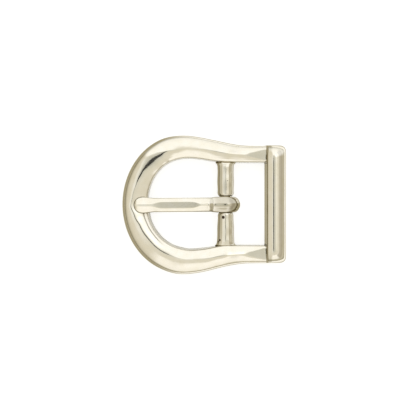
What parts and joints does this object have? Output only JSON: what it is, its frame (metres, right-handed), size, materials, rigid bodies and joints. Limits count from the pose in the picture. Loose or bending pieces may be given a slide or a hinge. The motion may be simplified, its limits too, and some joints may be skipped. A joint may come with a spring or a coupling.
{
  "type": "belt buckle",
  "caption": "Belt buckle with a rounded bow, a centre bar, a fixed raised keeper bar and a swinging prong, for a narrow dress belt.",
  "frame": {"origin": "under the middle of the buckle, in the plane that its back rests on", "axes": "+X from the bow to the keeper, along the belt; +Y along the centre bar, across the belt; +Z out of the buckle's face"},
  "size_m": [0.0514, 0.0434, 0.0082],
  "materials": {
    "frame_plating": "polished bright nickel plating over a zinc alloy die casting, faintly warm",
    "prong_plating": "polished bright nickel plating over a zinc alloy casting, faintly warm"
  },
  "bodies": {
    "frame": {"frame": "frame_plating"},
    "prong": {"prong": "prong_plating"}
  },
  "joints": [
    {"name": "prong_hinge", "type": "hinge", "parent": "frame", "child": "prong", "pos_m": [0.0069, 0, 0.0038], "axis": [0, 1, 0], "range_deg": [0, 151]}
  ]
}
